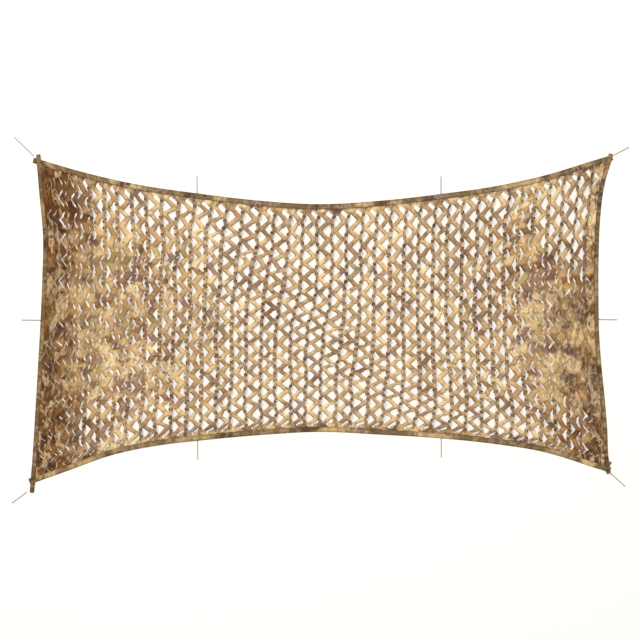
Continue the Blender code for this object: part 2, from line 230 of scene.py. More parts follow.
class Line:
    """A smooth line through its spots. A place on it is given by its share of the line's length."""

    def __init__(self, spots, inner_side):
        """inner_side is 1 if the net lies to the left of the line's direction and -1 if to the right."""
        self.spots = np.array(spots, float)
        steps = np.linalg.norm(np.diff(self.spots, axis=0), axis=1)
        self.length = float(steps.sum())
        self.shares = np.concatenate([[0], np.cumsum(steps)]) / self.length
        self.slopes = np.gradient(self.spots, self.shares, axis=0)
        self.inner_side = inner_side

    def at(self, share):
        """The places at these shares. Past its ends the line runs straight on."""
        inside = np.clip(share, 0.0, 1.0)
        k = np.clip(np.searchsorted(self.shares, inside, side="right") - 1, 0, len(self.spots) - 2)
        width = (self.shares[k + 1] - self.shares[k])[..., None]
        t = ((inside - self.shares[k]) / width[..., 0])[..., None]
        on_line = (
            (2 * t**3 - 3 * t**2 + 1) * self.spots[k]
            + (t**3 - 2 * t**2 + t) * width * self.slopes[k]
            + (3 * t**2 - 2 * t**3) * self.spots[k + 1]
            + (t**3 - t**2) * width * self.slopes[k + 1]
        )
        end_slope = np.where((share < 0.5)[..., None], self.slopes[0], self.slopes[-1])
        return on_line + (share - inside)[..., None] * end_slope

    def inward(self, share):
        """Unit vectors across the line, towards the net."""
        run = self.at(share + SHORT_STEP) - self.at(share - SHORT_STEP)
        across = self.inner_side * np.stack([-run[..., 1], run[..., 0]], axis=-1)
        return across / np.linalg.norm(across, axis=-1, keepdims=True)


upper, lower = Line(UPPER, -1), Line(LOWER, 1)
left, right = Line(LEFT, -1), Line(RIGHT, 1)


def long_edge(line, t):
    """The cloth's edge in the fold of a long binding, from beside one short binding to beside the other."""
    trim = CORNER_TRIM / line.length
    share = trim + (1 - 2 * trim) * t
    return line.at(share) + CLOTH_IN_FOLD * line.inward(share)


def short_edge(line, t):
    """The cloth's edge in the fold of a short binding. It comes out of the fold near the corners."""
    trim = CLOTH_IN_FOLD / line.length
    share = trim + (1 - 2 * trim) * t
    to_corner = np.minimum(share, 1 - share) * line.length
    folded_in = smoothstep((to_corner - CLEAR_OF_FOLD) / INTO_FOLD)
    beside = SIDE_WIDTH + BESIDE
    depth = beside + (CLOTH_IN_FOLD - beside) * folded_in
    return line.at(share) + depth[..., None] * line.inward(share)


def patch(u, v):
    """A place in the cloth from its shares of the width and height, stretched between the four edges."""
    zero, one = np.zeros_like(u), np.ones_like(u)
    across = [u[..., None], 1 - u[..., None]]
    up = [v[..., None], 1 - v[..., None]]
    low, high = long_edge(lower, u), long_edge(upper, u)
    near, far = short_edge(left, v), short_edge(right, v)
    corner = {(i, j): long_edge((lower, upper)[j], (zero, one)[i]) for i in (0, 1) for j in (0, 1)}
    for j, end in enumerate((zero, one)):
        near_corner = up[1 - j] ** CORNER_FADE
        near = near + near_corner * (corner[0, j] - short_edge(left, end))
        far = far + near_corner * (corner[1, j] - short_edge(right, end))
    corners = sum(across[1 - i] * up[1 - j] * corner[i, j] for i in (0, 1) for j in (0, 1))
    return up[1] * low + up[0] * high + across[1] * near + across[0] * far - corners


def column_share(column, right_pitch):
    """How far along a long side a column stands. The columns are gathered towards the short sides."""
    near = np.clip(column, 0, END_COLUMNS)
    far = np.clip(COLUMNS - column, 0, END_COLUMNS)
    lost_near = (1 - END_PITCH) * (near - near**2 / (2 * END_COLUMNS))
    lost_far = (1 - right_pitch) * (far - far**2 / (2 * END_COLUMNS))
    all_near = (1 - END_PITCH) * END_COLUMNS / 2
    all_far = (1 - right_pitch) * END_COLUMNS / 2
    return (column - lost_near - all_far + lost_far) / (COLUMNS - all_near - all_far)


def spread(column, row):
    """Shares of the net's width and height for a point of the cloth, counted in columns and rows."""
    v = row / ROWS
    u = (1 - v) * column_share(column, END_PITCH) + v * column_share(column, UPPER_RIGHT_PITCH)
    band = BAND_LOWER + (BAND_UPPER - BAND_LOWER) * v
    step = np.tanh((u - band) / BAND_HALF)
    step = step + (1 - u) * np.tanh(band / BAND_HALF) - u * np.tanh((1 - band) / BAND_HALF)
    off_edges = 1 - (2 * v - 1) ** 4
    return u + BAND_PULL * step, v - ROW_PINCH * v * (1 - v) - BAND_DROP * step * off_edges


def place(column, row):
    """The places in the plane of points of the cloth, counted in columns from the left and rows up."""
    return patch(*spread(np.asarray(column, float), np.asarray(row, float)))


def add_mesh(name, points, faces, material):
    """A smooth-shaded mesh piece."""
    mesh = bpy.data.meshes.new(name)
    mesh.from_pydata(np.asarray(points).tolist(), [], faces)
    mesh.shade_smooth()
    mesh.materials.append(material)
    piece = bpy.data.objects.new(name, mesh)
    bpy.context.scene.collection.objects.link(piece)
    return piece


def add_attribute(piece, name, values):
    """A number or a vector for each point of a piece, which its material reads."""
    values = np.asarray(values, np.float32)
    kind, field = ("FLOAT", "value") if values.ndim == 1 else ("FLOAT_VECTOR", "vector")
    piece.data.attributes.new(name, kind, "POINT").data.foreach_set(field, values.ravel())


# ---------------------------------------------------------------- materials

# Colours of the camouflage, each printed over the ones before it: noise scale, seed, level and colour
Print = namedtuple("Print", "scale seed level colour")
GROUND = (0.75, 0.50, 0.232)
PRINTS = [
    Print(6.8, 0.0, 0.51, (0.55, 0.345, 0.165)),
    Print(8.6, 4.0, 0.54, (0.38, 0.215, 0.115)),
    Print(8.0, 9.0, 0.565, (0.275, 0.170, 0.120)),
    Print(9.2, 14.0, 0.585, (0.50, 0.360, 0.155)),
    Print(9.8, 19.0, 0.58, (0.86, 0.64, 0.32)),
    Print(11.0, 25.0, 0.62, (0.20, 0.115, 0.060)),
]
TAPE_GROUND = (0.22, 0.145, 0.065)
TAPE_PRINTS = [
    Print(3.8, 40.0, 0.53, (0.56, 0.39, 0.17)),
    Print(5.0, 47.0, 0.55, (0.11, 0.065, 0.035)),
    Print(6.5, 51.0, 0.60, (0.31, 0.20, 0.14)),
]
PRINT_SOFT = 0.030  # half the breadth of a blotch's edge, in the noise's level
PRINT_DETAIL = 5.0
PRINT_ROUGH = 0.55

# A brown that the colour is multiplied by: painted shade on the net where it is gathered and on its tilted
# legs; on the tapes it darkens each tape and its corners
SHADE_BROWN = (0.335, 0.20, 0.092)
# Painted light where the cloth is stretched, and a painted highlight where its tips turn over
PAINTED_LIGHT_COLOUR = (0.88, 0.70, 0.47)
# Painted shade along the creases and in the troughs of the fine folds
CREASE_SHADE = (0.055, 0.028, 0.014)
# A painted highlight on the ridges of the fine folds
FOLD_HIGHLIGHT = (0.90, 0.70, 0.42)
THREAD = (0.30, 0.20, 0.10)
CORD_COLOUR = (0.34, 0.34, 0.30)
# Painted shade in the cord's grooves, and the colour of its sealed end
GROOVE_SHADE_AND_SEAL_COLOUR = (0.14, 0.125, 0.10)
CLOTH_ROUGHNESS = 0.85
THREAD_ROUGHNESS = 0.7
CORD_ROUGHNESS = 0.75
SPECULAR = 0.12

# Fine creases, drawn as a bump with painted shade in their troughs and a painted highlight on their ridges:
# noise scale, seed and breadth of the line where the noise passes its middle
Crease = namedtuple("Crease", "scale seed breadth")
CREASES = [Crease(8.0, 31.0, 0.034), Crease(15.0, 37.0, 0.040)]
CREASE_DETAIL = 3.0
CREASE_ROUGH = 0.5
CREASE_SLANT = 0.5
CREASE_STRETCH = 0.6
CREASE_SHARPNESS = 1.5
RIDGE_BESIDE = 1.7  # how far a ridge's light runs beside its trough, in breadths
# How strong the painted shade along the crease lines is, and the painted highlight on the fine folds' ridges
# and the painted shade in their troughs
LINE_DARK = 0.94
RIDGE_LIGHT = 0.5
TROUGH_DARK = 0.85
FOLD_DEPTH = 0.002

KNIT_PITCH = 0.0016
KNIT_DEPTH = 0.0002
KNIT_DISTORTION = 1.5
KNIT_DETAIL = 1.0
WAVE_LENGTHS = 0.314  # a wave texture of this scale repeats once a metre


class Material:
    """A node material, with short ways to add what the cloths are made of."""

    def __init__(self, name, roughness):
        self.made = bpy.data.materials.new(name)
        self.made.use_nodes = True
        self.tree = self.made.node_tree
        self.shader = self.tree.nodes["Principled BSDF"]
        self.feed(self.shader, "Roughness", roughness)
        self.feed(self.shader, "Specular IOR Level", SPECULAR)

    def feed(self, node, key, value):
        """Links an output to a node's input, or sets the input."""
        socket = node.inputs[key]
        if isinstance(value, bpy.types.NodeSocket):
            self.tree.links.new(value, socket)
        else:
            socket.default_value = (*value, 1) if socket.type == "RGBA" else value

    def node(self, kind, output, values, **settings):
        """Adds a node and returns one of its outputs."""
        node = self.tree.nodes.new("ShaderNode" + kind)
        for key, setting in settings.items():
            setattr(node, key, setting)
        for key, value in values.items():
            self.feed(node, key, value)
        return node.outputs[output]

    def attribute(self, name, output="Fac"):
        return self.node("Attribute", output, {}, attribute_name=name)

    def maths(self, operation, *values):
        return self.node("Math", "Value", dict(enumerate(values)), operation=operation)

    def between(self, value, low, high):
        """0 where a value is at low, rising to 1 at high."""
        return self.node("MapRange", "Result", {"Value": value, "From Min": low, "From Max": high})

    def band(self, value, middle, breadth):
        """1 where a value is at the middle, falling to 0 at a breadth either side."""
        off = self.maths("ABSOLUTE", self.maths("SUBTRACT", value, middle))
        return self.between(off, breadth, 0.0)

    def mixed(self, factor, below, above, blend="MIX"):
        values = {"Factor": factor, "A": below, "B": above}
        return self.node("Mix", "Result", values, data_type="RGBA", blend_type=blend)

    def noise(self, where, scale, seed, detail, rough):
        values = {"Vector": where, "W": seed, "Scale": scale, "Detail": detail, "Roughness": rough}
        return self.node("TexNoise", "Fac", values, noise_dimensions="4D")

    def printed(self, where, ground, prints):
        """The camouflage: blotches of noise printed one over another."""
        colour = ground
        for spec in prints:
            value = self.noise(where, spec.scale, spec.seed, PRINT_DETAIL, PRINT_ROUGH)
            over = self.between(value, spec.level - PRINT_SOFT, spec.level + PRINT_SOFT)
            colour = self.mixed(over, colour, spec.colour)
        return colour

    def creases(self, where):
        """Fine folds over the cloth: the masks of their troughs, for painted shade, and of their ridges, for
        a painted highlight; both also make their bump.
        """
        drawn_out = {"Vector": where, "Rotation": (0, 0, CREASE_SLANT), "Scale": (1, CREASE_STRETCH, 1)}
        where = self.node("Mapping", "Vector", drawn_out)
        troughs, ridges = [], []
        for crease in CREASES:
            value = self.noise(where, crease.scale, crease.seed, CREASE_DETAIL, CREASE_ROUGH)
            troughs.append(self.band(value, 0.5, crease.breadth))
            ridges.append(self.band(value, 0.5 + RIDGE_BESIDE * crease.breadth, crease.breadth))
        return self.maths("MAXIMUM", *troughs), self.maths("MAXIMUM", *ridges)

    def knit(self, where):
        """The stitches of the knitted cloth, from 0 to 1."""
        values = {"Vector": where, "Scale": WAVE_LENGTHS / KNIT_PITCH}
        values |= {"Distortion": KNIT_DISTORTION, "Detail": KNIT_DETAIL}
        ways = [self.node("TexWave", "Fac", values, bands_direction=way) for way in "XY"]
        return self.maths("MULTIPLY", *ways)


def printed_material(name, ground, prints):
    """Camouflage cloth, with painted shade along its creases and in the troughs of its fine folds, a painted
    highlight on their ridges, painted light where it is stretched and on its turned-over tips, and painted
    shade where it is gathered.
    """
    cloth = Material(name, CLOTH_ROUGHNESS)
    where = cloth.attribute("flat", "Vector")
    creased = cloth.attribute("creased")
    trough, ridge = (cloth.maths("MULTIPLY", creased, line) for line in cloth.creases(where))
    colour = cloth.printed(where, ground, prints)
    # Painted light where the cloth is stretched, and a painted highlight on turned-over tips
    colour = cloth.mixed(cloth.attribute("painted_light"), colour, PAINTED_LIGHT_COLOUR)
    # Painted shade on the net where it is gathered and on its tilted legs; on the tapes, darker by tape and
    # towards the corners
    colour = cloth.mixed(cloth.attribute("shade"), colour, SHADE_BROWN, "MULTIPLY")
    # Painted shade along the creases, slit sides and spines of the net, and along the tapes' folded and
    # inner edges
    line = cloth.maths("POWER", cloth.attribute("tone"), CREASE_SHARPNESS)
    colour = cloth.mixed(cloth.maths("MULTIPLY", line, LINE_DARK), colour, CREASE_SHADE)
    # Painted highlight on the ridges of the fine folds, and painted shade in their troughs
    colour = cloth.mixed(cloth.maths("MULTIPLY", ridge, RIDGE_LIGHT), colour, FOLD_HIGHLIGHT)
    colour = cloth.mixed(cloth.maths("MULTIPLY", trough, TROUGH_DARK), colour, CREASE_SHADE)
    cloth.feed(cloth.shader, "Base Color", colour)
    folds = cloth.maths("MULTIPLY", cloth.maths("SUBTRACT", ridge, trough), FOLD_DEPTH)
    stitches = cloth.maths("MULTIPLY", cloth.knit(where), KNIT_DEPTH)
    relief = {"Distance": 1.0, "Height": cloth.maths("ADD", folds, stitches)}
    cloth.feed(cloth.shader, "Normal", cloth.node("Bump", "Normal", relief))
    return cloth.made


def plain_material(name, roughness, colour):
    made = Material(name, roughness)
    made.feed(made.shader, "Base Color", colour)
    return made.made


def braided_material():
    cord = Material("braided_cord", CORD_ROUGHNESS)
    # Painted shade in the braid's grooves, and the darker sealed end
    cord.feed(cord.shader, "Base Color", cord.mixed(cord.attribute("tone"), CORD_COLOUR, GROOVE_SHADE_AND_SEAL_COLOUR))
    return cord.made


cloth_material = printed_material("camouflage_cloth", GROUND, PRINTS)
binding_material = printed_material("camouflage_tape", TAPE_GROUND, TAPE_PRINTS)
thread_material = plain_material("thread", THREAD_ROUGHNESS, THREAD)
cord_material = braided_material()


# ---------------------------------------------------------------- the slit cloth


class FlatCloth:
    """The cloth as cut: a triangle mesh whose slits run along the diagonals of its grid."""

    LAST_ACROSS = COLUMNS * STEPS_ACROSS
    LAST_UP = ROWS * STEPS_UP

    def __init__(self):
        a, b = np.meshgrid(np.arange(self.LAST_ACROSS + 1), np.arange(self.LAST_UP + 1), indexing="ij")
        self.grid = np.stack([a.ravel(), b.ravel()], axis=1)
        self.faces = self.split_quads(a, b)
        self.copy_of = np.zeros(len(self.grid), int)
        self.free_tab_edges()
        across, up = self.grid.T
        open_here = openness(across / STEPS_ACROSS, up / STEPS_UP)
        rounded = smoothstep((open_here - ROUNDED_FROM) / ROUNDED_RUN)
        self.column = self.stepped(across, rounded, COLUMN_SHARES, EVEN_COLUMN_SHARES)
        by_left = self.stepped(up, rounded, ROW_SHARES, EVEN_ROW_SHARES)
        by_right = self.stepped(up + HALF_UP, rounded, ROW_SHARES, EVEN_ROW_SHARES) - 0.5
        from_right = np.array(FROM_RIGHT)[across % STEPS_ACROSS]
        self.row = (1 - from_right) * by_left + from_right * by_right
        self.side = self.copy_of.copy()
        for side in (1, -1):
            inside = self.steps_into_tab(across, up, side) > 0
            self.side[(self.copy_of == 0) & inside] = side
        even = across / STEPS_ACROSS
        nearest = [np.floor(even), np.ceil(even)]
        self.spine = np.select([self.side > 0, self.side < 0], nearest, np.round(even)).astype(int)

    @staticmethod
    def stepped(step, rounded, shares, even_shares):
        """Where the grid's steps fall along one axis, between the rounded slits' places and even ones."""
        whole, part = np.divmod(step, len(shares) - 1)
        return whole + rounded * np.array(shares)[part] + (1 - rounded) * np.array(even_shares)[part]

    @staticmethod
    def split_quads(a, b):
        """Two triangles for each quad, split along the way that the slits run in that half row."""
        up = b.shape[1]
        low_left = (a * up + b)[:-1, :-1].ravel()
        low_right, high_left = low_left + up, low_left + 1
        high_right = low_right + 1
        rising = (b[:-1, :-1].ravel() % STEPS_UP) >= HALF_UP
        one = np.where(rising, high_right, high_left)
        other = np.where(rising, low_left, low_right)
        first = np.stack([low_left, low_right, one], axis=1)
        second = np.stack([other, high_right, high_left], axis=1)
        return np.concatenate([first, second])

    @staticmethod
    def above_middle(b, side):
        """Steps above the middle line of the nearest tab on that side of the spines."""
        return (b + HALF_UP) % STEPS_UP - HALF_UP if side > 0 else b % STEPS_UP - HALF_UP

    @classmethod
    def steps_into_tab(cls, a, b, side):
        """Steps from a slit into its tab, for tabs on that side of the spines. Negative outside."""
        if side > 0:
            off = a % STEPS_ACROSS - SLIT_START
            inside = (a >= STEPS_ACROSS) & (a < cls.LAST_ACROSS)
            inside &= (b > HALF_UP) & (b < cls.LAST_UP - HALF_UP)
        else:
            off = (-a) % STEPS_ACROSS - SLIT_START
            inside = (a > 0) & (a <= cls.LAST_ACROSS - STEPS_ACROSS)
        depth = SLIT_REACH - off - np.abs(cls.above_middle(b, side))
        return np.where(inside & (off > 0), depth, -1.0)

    def free_tab_edges(self):
        """Gives each tab its own copies of the points along its slit."""
        for side in (1, -1):
            count = len(self.grid)
            middle = self.grid[self.faces].mean(axis=1)
            in_tab = self.steps_into_tab(middle[:, 0], middle[:, 1], side) > 0
            on_slit = self.steps_into_tab(self.grid[:, 0], self.grid[:, 1], side) == 0
            on_slit &= self.copy_of == 0
            copies = np.full(count, -1)
            copies[on_slit] = count + np.arange(on_slit.sum())
            tab_faces = self.faces[in_tab]
            self.faces[in_tab] = np.where(copies[tab_faces] >= 0, copies[tab_faces], tab_faces)
            self.grid = np.concatenate([self.grid, self.grid[on_slit]])
            self.copy_of = np.concatenate([self.copy_of, np.full(on_slit.sum(), side)])

    def steps_from_spine(self):
        return np.abs(self.grid[:, 0] - self.spine * STEPS_ACROSS)

    def lips(self, side, upper_side):
        """Points of the surrounding cloth along the upper or lower side of the slits."""
        a, b = self.grid.T
        above = self.above_middle(b, side)
        on_slit = (self.copy_of == 0) & (self.steps_into_tab(a, b, side) == 0)
        return on_slit & ((above >= 0) if upper_side else (above < 0))


def waves(swell, column, row):
    """A smooth random surface over columns and rows, about 1 high."""
    rng = np.random.default_rng(swell.seed)
    length = rng.uniform(swell.shortest, swell.longest, WAVE_COUNT)
    heading = rng.uniform(0, math.pi, WAVE_COUNT)
    phase = rng.uniform(0, 2 * math.pi, WAVE_COUNT)
    per_column = 2 * math.pi * np.cos(heading) / length
    per_row = 2 * math.pi * np.sin(heading) / length
    return np.cos(column[..., None] * per_column + row[..., None] * per_row + phase).mean(axis=-1) * 2


def to_sides(column, row):
    """How many columns and rows a place is from the nearest short side and the nearest long side."""
    return np.minimum(column, COLUMNS - column), np.minimum(row, ROWS - row)


def openness(column, row):
    """How far the slits are open at a place in the net."""
    shifted = column + OPEN_SLANT * (row / ROWS - 0.5)
    open_here = np.interp(shifted, *zip(*OPENNESS))
    growing = np.minimum(1, OPEN_RISE * open_here)
    open_here = open_here + OPEN_UNEVEN * waves(OPEN_SWELL, column, row) * growing
    across, up = to_sides(column, row)
    edge_share = 1 - smoothstep(up / EDGE_OPEN_ROWS)
    open_here = open_here + EDGE_OPEN * edge_share * smoothstep(across / EDGE_OPEN_COLUMNS)
    for spot in WIDE_OPEN:
        away = np.hypot(column - spot.column, row - spot.row)
        wide = 1 - smoothstep((away - spot.inner) / (spot.outer - spot.inner))
        open_here = np.maximum(open_here, spot.open * wide)
    return np.clip(open_here, 0, 1)


def local_pitch(column, row):
    """The spread of a column and of a row at a place in the net, and the unit vector across."""
    across = place(column + PITCH_STEP, row) - place(column - PITCH_STEP, row)
    up = place(column, row + PITCH_STEP) - place(column, row - PITCH_STEP)
    wide = np.linalg.norm(across, axis=-1) / (2 * PITCH_STEP)
    return wide, np.linalg.norm(up, axis=-1) / (2 * PITCH_STEP), across / (2 * PITCH_STEP * wide[..., None])


def inside_depth(x, y):
    """About how far a point lies inside the outer line, from the nearest side."""
    points = np.stack([x, y], axis=-1)
    depths = []
    for line in (upper, lower, left, right):
        samples = np.linspace(0, 1, OUTLINE_SAMPLES)
        places, inward = line.at(samples), line.inward(samples)
        nearest = np.argmin(((points[:, None, :] - places) ** 2).sum(axis=-1), axis=-1)
        depths.append(((points - places[nearest]) * inward[nearest]).sum(axis=-1))
    return np.min(depths, axis=0)


def tab_openness(cloth):
    """How far each point's tab is folded back, and 0 off the tabs."""
    rng = np.random.default_rng(TAB_SEED)
    uneven = rng.normal(0, TAB_UNEVEN, (COLUMNS + 1, 2 * ROWS + 2))
    half_row = np.where(cloth.side > 0, 2 * np.round(cloth.row), 2 * np.floor(cloth.row) + 1).astype(int)
    own = openness(cloth.spine.astype(float), half_row / 2)
    uneven = uneven[cloth.spine, half_row] * np.minimum(1, TAB_RISE * own)
    return np.where(cloth.side != 0, np.clip(own + uneven, 0, 1), 0)


def in_the_plane(cloth, hinge, open_here, shut):
    """Where the cloth lies in the plane, with its spines swaying and its tabs drawn in, before they fold."""
    sway = SPINE_SWAY * open_here + LEAN * shut * np.sin(math.pi * (hinge % 1))
    middle = np.where(cloth.side > 0, np.round(cloth.row), np.floor(cloth.row) + 0.5)
    narrowed = 1 - TAB_NARROW * np.minimum(1, OPEN_RISE * open_here)
    drawn = np.where(cloth.side != 0, middle + (cloth.row - middle) * narrowed, cloth.row)
    where = place(hinge - sway * np.cos(2 * math.pi * cloth.row), drawn)
    return where + UNEVEN * np.stack([waves(swell, hinge, cloth.row) for swell in SHIFT_SWELLS], axis=-1)


def height_unfolded(cloth, hinge, open_here, wide):
    """The height of the cloth with its pleats, creases and lips, before its tabs are folded back."""
    spare = np.clip(COLUMN_PITCH / wide - 1, 0, None)
    drift = PLEAT_DRIFT * waves(DRIFT_SWELL, hinge, cloth.row)
    size = PLEAT_SIZE + PLEAT_UNEVEN * waves(PLEAT_SWELL, hinge, cloth.row)
    pleat = wide / math.pi * np.sqrt(spare) * size * np.cos(2 * math.pi * (cloth.column + drift))
    height = END_HEIGHT + (MIDDLE_HEIGHT - END_HEIGHT) * open_here - pleat
    height = height + RISE_UNEVEN * waves(RISE_SWELL, hinge, cloth.row)
    creased = END_CREASES * (1 - smoothstep(open_here / CREASED_OPEN))
    height = height + creased * waves(CREASE_SWELL, cloth.column, cloth.row)
    for side in (1, -1):
        for upper_side, drop in ((True, LIP_DROP), (False, LOWER_LIP_DROP)):
            lips = cloth.lips(side, upper_side)
            height[lips] -= drop * open_here[lips]
    return height


def folded_tabs(cloth, folded, shut, wide):
    """How far outwards and up each point of a tab goes from its hinge as the tab folds back."""
    step_of = np.where(cloth.side != 0, cloth.steps_from_spine() - SLIT_START, 0)
    poses = np.array([pose.slopes for pose in TAB_POSES], float)
    out, rise = np.zeros_like(cloth.column), np.zeros_like(cloth.column)
    for step in range(SLIT_REACH):
        slope = np.radians(np.interp(folded, [pose.open for pose in TAB_POSES], poses[:, step]))
        length = COLUMN_SHARES[SLIT_START + step + 1] - COLUMN_SHARES[SLIT_START + step]
        length = length * wide * (1 - TAB_LEAN * shut) * (step_of > step)
        out += length * np.cos(slope)
        rise += length * np.sin(slope)
    return out, rise


def first_shape(cloth):
    """The cloth laid out with its pleats and its tabs folded back, before it is relaxed."""
    hinge = np.where(cloth.side != 0, cloth.spine + cloth.side * COLUMN_SHARES[SLIT_START], cloth.column)
    open_here = openness(hinge, cloth.row)
    shut = np.minimum(1 - open_here, MOST_LEAN) * smoothstep(open_here / FULL_LEAN_OPEN)
    wide, _, outwards = local_pitch(hinge, cloth.row)
    folded = tab_openness(cloth)
    out, rise = folded_tabs(cloth, folded, shut, wide)
    where = in_the_plane(cloth, hinge, open_here, shut) + (cloth.side * out)[:, None] * outwards
    height = np.clip(height_unfolded(cloth, hinge, open_here, wide) + rise, LOWEST, HIGHEST)
    loose = np.concatenate([where, height[:, None]], axis=1)
    flat = place(cloth.column, cloth.row)
    in_fold = np.concatenate([flat, np.full((len(flat), 1), HELD_LEVEL)], axis=1)
    inside = smoothstep((inside_depth(flat[:, 0], flat[:, 1]) - HELD_EDGE) / EDGE_RUN)
    points = inside[:, None] * loose + (1 - inside[:, None]) * in_fold
    a, b = cloth.grid.T
    held = (inside == 0) | (a % cloth.LAST_ACROSS == 0) | (b % cloth.LAST_UP == 0)
    return points, held, folded * inside, open_here * inside


class Springs:
    """Pairs of points that are drawn back to their own distance."""

    def __init__(self, pairs, lengths, stiffness, count):
        """The pairs are sorted into groups in which no point comes twice."""
        self.stiffness = stiffness
        used = [0] * count
        group = np.empty(len(pairs), int)
        for k, (a, b) in enumerate(pairs.tolist()):
            free = ~(used[a] | used[b])
            bit = free & -free
            used[a] |= bit
            used[b] |= bit
            group[k] = bit.bit_length()
        length = lengths.astype(np.float32)
        self.groups = []
        for g in range(1, group.max() + 1):
            chosen = pairs[group == g]
            self.groups.append((chosen[:, 0].copy(), chosen[:, 1].copy(), length[group == g]))

    def pull(self, points):
        for a, b, length in self.groups:
            run = points[b] - points[a]
            now = np.sqrt(np.einsum("ij,ij->i", run, run)) + NO_LENGTH
            run *= (0.5 * self.stiffness * (1 - length / now))[:, None]
            points[a] += run
            points[b] -= run


def inner_edges(faces):
    """The two ends of each inner edge of the mesh, and the two points across it."""
    sides = np.concatenate([faces[:, [0, 1, 2]], faces[:, [1, 2, 0]], faces[:, [2, 0, 1]]])
    sides[:, :2] = np.sort(sides[:, :2], axis=1)
    sides = sides[np.lexsort((sides[:, 1], sides[:, 0]))]
    same = (sides[1:, :2] == sides[:-1, :2]).all(axis=1)
    return np.concatenate([sides[:-1][same], sides[1:, 2:][same]], axis=1)


def cut_lengths(cloth, pairs, start):
    """The distance between points of the flat cloth. The knit gives way where it is pulled."""
    a, b = pairs.T
    laid = np.linalg.norm(start[a] - start[b], axis=1)
    wide, tall, _ = local_pitch((cloth.column[a] + cloth.column[b]) / 2, (cloth.row[a] + cloth.row[b]) / 2)
    across = (cloth.column[a] - cloth.column[b]) * np.maximum(wide, COLUMN_PITCH)
    up = (cloth.row[a] - cloth.row[b]) * tall
    return (1 - CUT_PULL) * laid + CUT_PULL * np.hypot(across, up)


def relax(cloth):
    """Places of the cloth's points, settled so that no part of it is stretched."""
    start, held, folded, open_here = first_shape(cloth)
    points = start.astype(np.float32)
    held_at = points[held].copy()
    on_spine = (cloth.grid[:, 0] % STEPS_ACROSS == 0) & (cloth.grid[:, 1] % HALF_UP == 0)
    spine_at = points[on_spine, :2].copy()
    faces = cloth.faces
    edges = np.concatenate([faces[:, [0, 1]], faces[:, [1, 2]], faces[:, [2, 0]]])
    edges = np.unique(np.sort(edges, axis=1), axis=0)
    edges = Springs(edges, cut_lengths(cloth, edges, start), EDGE_STIFFNESS, len(points))
    across = inner_edges(faces)[:, 2:]
    as_folded = np.linalg.norm(start[across[:, 0]] - start[across[:, 1]], axis=1)
    bends = Springs(across, as_folded, BEND_STIFFNESS, len(points))
    for _ in range(ROUNDS):
        bends.pull(points)
        edges.pull(points)
        points[on_spine, :2] += SPINE_HOLD * (spine_at - points[on_spine, :2])
        points[held] = held_at
        np.clip(points[:, 2], LOWEST, HIGHEST, out=points[:, 2])
    return points, folded, open_here


# Painted shade along the creases: how dark it is, from 0 to 1, and from which openness and over what run of
# it it appears
FOLD_TONE = [0.65, 0.95, 0.8, 0.45, 0.25, 0.1]  # on a folded tab, step by step from its spine
FOLD_TONE_FROM = 0.3
LIP_TONE = 1.0
SPINE_TONES = (0.92, 0.40)  # on a spine and one step beside it
SPINE_TONE_FROM = 0.30
TONE_RUN = 0.5
TONE_UNEVEN = 0.35

# How much darker and browner the cloth is made: painted shade where it is gathered at its ends and on its
# legs, and darker towards its corners
LEFT_TONE = 0.76
RIGHT_TONE = 0.36
TONE_COLUMNS = 6
CORNER_TONE = 0.50
CORNER_RUN = 7.0  # columns
UPPER_RIGHT_FROM = 3  # there is none this near to the upper right corner
UPPER_RIGHT_RUN = 4
# Painted shade that differs from leg to leg, as each is tilted its own way
LEG_SHADE = 0.17  # the legs between slits differ, as each is tilted its own way
LEG_UNEVEN = 0.25
MOST_LEG_SHADE = 0.65

# Painted light: how much paler the cloth is made where it is stretched, and a painted highlight where the
# tips of tabs turn over
STRETCHED_LIGHT = 0.17
PALED_FROM = 0.5
PALED_RUN = 0.45
TIP_HIGHLIGHT = 0.85
TIP_OPEN = (0.20, 0.32, 0.58, 0.68)  # the tips show between these opennesses, fully between the middle two

# How much it is creased, which sets the bump of its fine folds and their painted shade and painted highlight
CREASED_UNTIL = 0.6  # the openness at which the creases are gone
CORNER_CREASED = 0.25
EDGE_CREASED = 0.35
EDGE_CREASED_ROWS = 1.5


def painted_crease_shade(cloth, folded, open_here):
    """Painted shade: how much darker the cloth is made along its tab folds, the upper sides of its slits and
    its spines, from 0 to 1.
    """
    step_of = cloth.steps_from_spine()
    fold_tone = np.array(FOLD_TONE)[np.clip(step_of - SLIT_START, 0, SLIT_REACH)]
    tone = np.where(cloth.side != 0, smoothstep((folded - FOLD_TONE_FROM) / TONE_RUN) * fold_tone, 0)
    for side in (1, -1):
        tone[cloth.lips(side, True)] = (LIP_TONE * smoothstep(open_here / TONE_RUN))[cloth.lips(side, True)]
    for step, spine_tone in enumerate(SPINE_TONES):
        near_spine = (cloth.side == 0) & (step_of == step)
        drawn = spine_tone * smoothstep((open_here - SPINE_TONE_FROM) / TONE_RUN)
        drawn = drawn * (1 - TONE_UNEVEN * (0.5 + waves(TONE_SWELL, cloth.column, cloth.row)).clip(0, 1))
        tone[near_spine] = np.maximum(tone, drawn)[near_spine]
    return tone


def corners(cloth):
    """1 at the corners of the net, falling to 0 a few columns away."""
    return 1 - smoothstep(np.hypot(*to_sides(cloth.column, cloth.row)) / CORNER_RUN)


